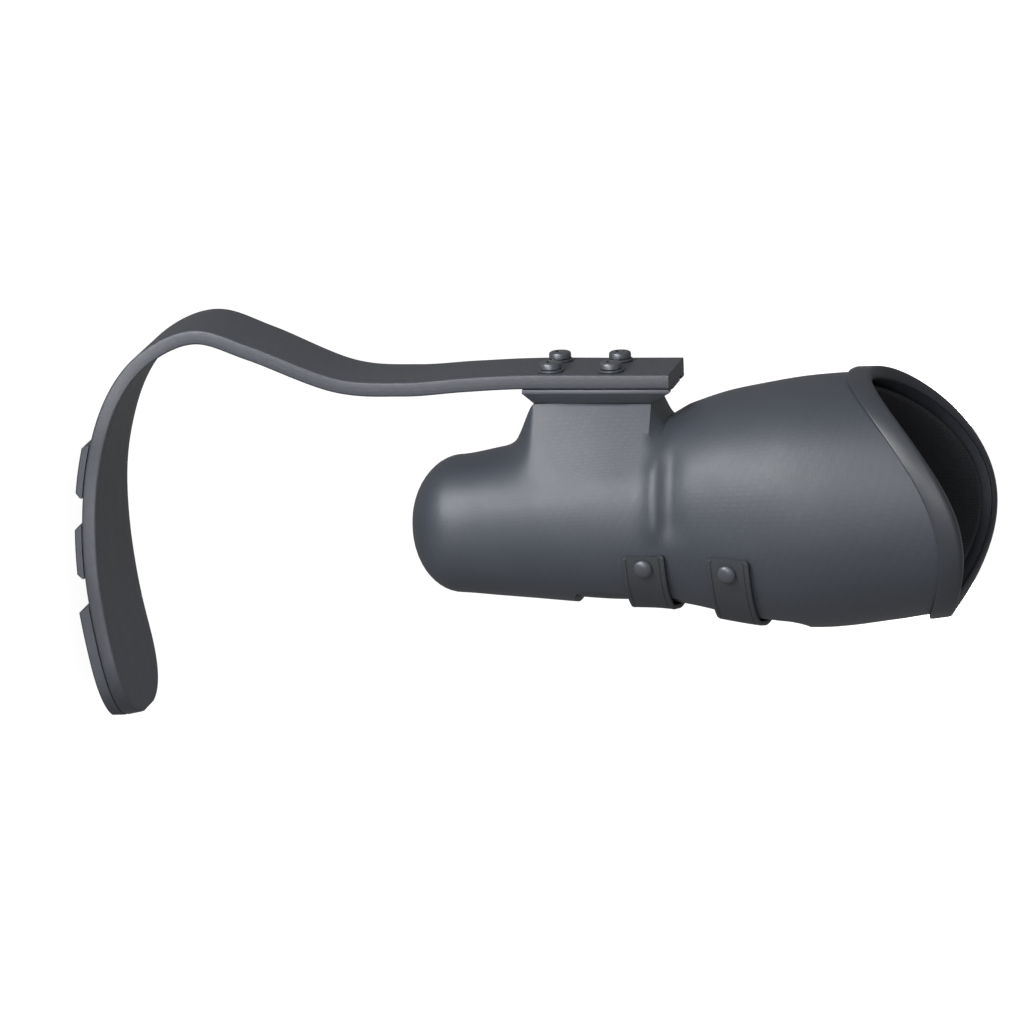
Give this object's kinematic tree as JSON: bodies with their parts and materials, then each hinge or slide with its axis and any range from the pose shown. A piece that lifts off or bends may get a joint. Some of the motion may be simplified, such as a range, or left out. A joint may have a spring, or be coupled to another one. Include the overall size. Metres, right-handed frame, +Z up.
{
  "type": "prosthetic leg",
  "caption": "Below-knee running prosthesis: strapped socket with a soft liner and pin lock, and a curved carbon blade clamped to a rail on its rear boss.",
  "frame": {"origin": "middle of the limb's seat in the socket: on the shank's axis, 440 mm above the ground under the blade", "axes": "+Z up along the shank, +Y to the rear where the blade is, +X to the wearer's outer side (left leg)"},
  "size_m": [0.139, 0.2239, 0.5063],
  "materials": {
    "shell": "satin clear coat over a dark slate laminate",
    "trim": "satin moulded edge band",
    "panel": "satin flexible panel",
    "rail": "dark anodised, fine blasted",
    "strap": "coated strap, fine grain",
    "rivet": "dark plated dome",
    "hook": "hook pile",
    "liner": "soft matt gel with knitted cover",
    "cap": "satin",
    "steel": "dark zinc plate",
    "lock": "moulded",
    "button": "satin",
    "blade": "carbon laminate under satin coat",
    "tread": "matt ribbed rubber"
  },
  "bodies": {
    "socket": {"socket_shell": "shell", "brim_band": "trim", "front_panel": "panel", "mount_rail": "rail", "strap_lower_tab": "strap", "strap_lower_rivet": "rivet", "strap_lower_patch": "hook", "strap_upper_tab": "strap", "strap_upper_rivet": "rivet", "strap_upper_patch": "hook", "lock_body": "lock", "lock_spring": "steel", "button_bush": "lock"},
    "blade_carriage": {"blade": "blade", "blade_bolt_1": "steel", "blade_bolt_2": "steel", "blade_bolt_3": "steel", "blade_bolt_4": "steel", "blade_washer_1": "steel", "blade_washer_2": "steel", "blade_washer_3": "steel", "blade_washer_4": "steel", "rail_nut_1": "steel", "rail_nut_2": "steel", "rail_nut_3": "steel", "rail_nut_4": "steel"},
    "toe": {"tread_rear": "tread", "tread_mid": "tread", "tread_front": "tread"},
    "worn_liner": {"liner": "liner", "liner_cap": "cap", "lock_pin": "steel"},
    "lower_strap": {"strap_lower": "strap"},
    "upper_strap": {"strap_upper": "strap"},
    "release_button": {"lock_button": "button"}
  },
  "joints": [
    {"name": "blade_height", "type": "slide", "parent": "socket", "child": "blade_carriage", "axis": [0, 0, 1], "range_m": [-0.006, 0.006]},
    {"name": "blade_flex", "type": "hinge", "parent": "blade_carriage", "child": "toe", "pos_m": [0, 0.105, -0.37], "axis": [-1, 0, 0], "range_deg": [0, 12], "stiffness_Nm_per_rad": 300, "deforming": ["blade"]},
    {"name": "liner_lift", "type": "slide", "parent": "socket", "child": "worn_liner", "axis": [0, 0.1045, 0.9945], "range_m": [0, 0.32]},
    {"name": "lower_strap_fold", "type": "hinge", "parent": "socket", "child": "lower_strap", "pos_m": [-0.0483, -0.02961, -0.114], "axis": [0.0975, -0.0392, -0.9945], "range_deg": [0, 75]},
    {"name": "upper_strap_fold", "type": "hinge", "parent": "socket", "child": "upper_strap", "pos_m": [-0.05635, -0.03232, -0.065], "axis": [0.1593, 0.0763, -0.9843], "range_deg": [0, 75]},
    {"name": "lock_release", "type": "slide", "parent": "socket", "child": "release_button", "axis": [-1, 0, 0], "range_m": [0, 0.0035], "stiffness_N_per_m": 700, "springref_m": -0.003, "deforming": ["lock_spring"]}
  ]
}
